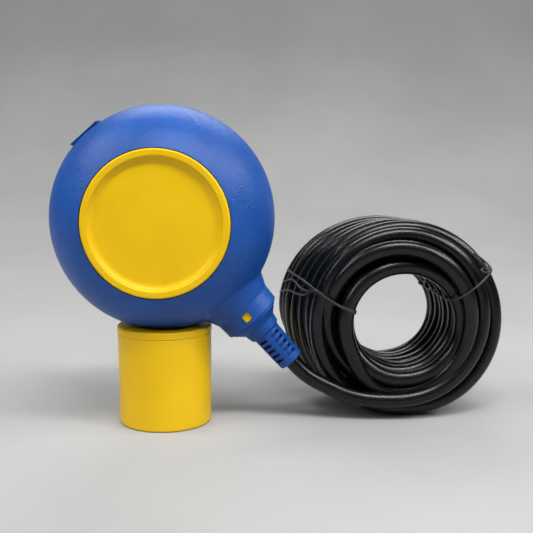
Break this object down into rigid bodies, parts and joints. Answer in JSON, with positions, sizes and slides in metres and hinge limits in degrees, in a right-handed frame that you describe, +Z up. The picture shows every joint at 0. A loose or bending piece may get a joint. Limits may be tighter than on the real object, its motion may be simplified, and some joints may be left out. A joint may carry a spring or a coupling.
{
  "type": "float level switch",
  "caption": "Round sealed float with yellow discs and a slotted cable boot, a long coiled cable held by wire ties, and a cylindrical counterweight that the float rests on.",
  "frame": {"origin": "centre of the counterweight's cable bore, at the underside that the part stands on", "axes": "+Z up; the float's two round faces look along -Y and +Y; the cable neck leaves downwards towards +X"},
  "size_m": [0.2237, 0.1087, 0.1572],
  "materials": {
    "jacket_blue": "satin moulded plastic",
    "capsule_yellow": "satin-gloss moulded plastic",
    "weight_yellow": "gloss moulded plastic",
    "cable_black": "soft-sheen sheath",
    "seal_rubber": "matt",
    "grip_plastic": "matt",
    "switch_black": "matt",
    "switch_red": "matt",
    "carrier_white": "matt",
    "spring_steel": "brushed",
    "ball_steel": "polished",
    "terminal_brass": "plain",
    "slug_iron": "as cast",
    "ring_white": "matt",
    "tie_black": "plastic-covered wire",
    "core_brown": "plain",
    "core_blue": "plain",
    "core_black": "plain",
    "ferrule_tin": "plain"
  },
  "bodies": {
    "switch_body": {"outer_jacket": "jacket_blue", "capsule_front": "capsule_yellow", "capsule_back": "capsule_yellow", "strain_relief": "jacket_blue", "cable_seal": "seal_rubber", "cord_grip": "grip_plastic", "cable_inlet": "cable_black", "switch_case": "switch_black", "switch_cover": "switch_black", "lever_pin": "spring_steel", "switch_carrier": "carrier_white", "carrier_screws": "spring_steel", "weight_shell": "weight_yellow", "weight_slug": "slug_iron", "weight_lid": "weight_yellow", "grip_ring": "ring_white", "cable_coil": "cable_black", "cable_lead": "cable_black", "cable_tail": "cable_black", "core_ferrules": "ferrule_tin", "tie_left": "tie_black", "tie_right": "tie_black", "terminal_common": "terminal_brass", "terminal_closed": "terminal_brass", "terminal_open": "terminal_brass", "inner_core_brown": "core_brown", "inner_core_blue": "core_blue", "inner_core_black": "core_black", "tail_core_brown": "core_brown", "tail_core_blue": "core_blue", "tail_core_black": "core_black"},
    "ball": {"steel_ball": "ball_steel"},
    "lever": {"switch_lever": "spring_steel"},
    "plunger": {"plunger": "switch_red"}
  },
  "joints": [
    {"name": "ball_roll", "type": "slide", "parent": "switch_body", "child": "ball", "axis": [-0.6626, 0, 0.749], "range_m": [0, 0.03]},
    {"name": "lever_press", "type": "hinge", "parent": "switch_body", "child": "lever", "pos_m": [0.02203, 0, 0.09989], "axis": [0, 1, 0], "range_deg": [0, 7.01]},
    {"name": "plunger_press", "type": "slide", "parent": "switch_body", "child": "plunger", "axis": [-0.6626, 0, 0.749], "range_m": [0, 0.000802]}
  ],
  "couplings": [
    {"joint": "lever_press", "follows": "ball_roll", "rad_per_m": 4.0724},
    {"joint": "plunger_press", "follows": "ball_roll", "ratio": 0.026405}
  ]
}
